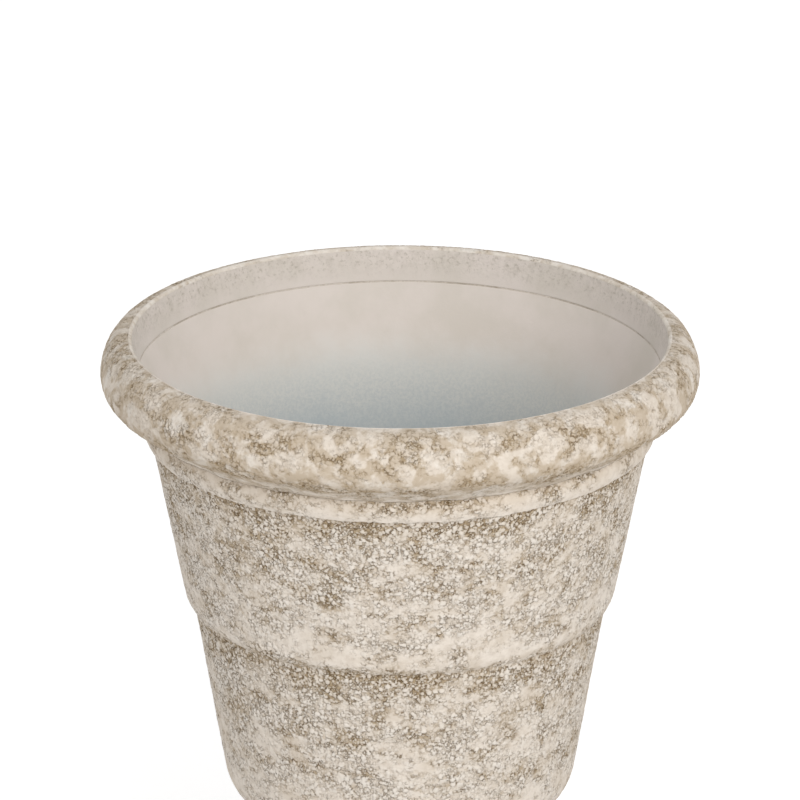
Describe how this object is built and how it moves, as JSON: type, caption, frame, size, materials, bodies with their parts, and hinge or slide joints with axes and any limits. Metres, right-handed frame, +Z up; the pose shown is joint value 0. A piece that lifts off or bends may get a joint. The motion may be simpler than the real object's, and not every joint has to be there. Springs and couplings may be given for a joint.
{
  "type": "urn planter",
  "caption": "Round stone-look urn planter with a rolled rim, stepped tapering tiers, a turned hollow foot and a pull-out drain plug.",
  "frame": {"origin": "centre of the foot's underside, on the ground", "axes": "+Z up along the axis of the urn; X and Y lie in the ground, and every direction round Z is alike"},
  "size_m": [0.46, 0.46, 0.5],
  "materials": {
    "cast_stone": "matte",
    "mortar": "matte",
    "plug_rubber": "matte"
  },
  "bodies": {
    "planter": {"rim_ring": "cast_stone", "rim_bond": "mortar", "bowl_shell": "cast_stone", "foot_bond": "mortar", "pedestal_foot": "cast_stone"},
    "plug": {"drain_plug": "plug_rubber"}
  },
  "joints": [
    {"name": "plug_pull", "type": "slide", "parent": "planter", "child": "plug", "axis": [0, 0, 1], "range_m": [0, 0.4]}
  ]
}
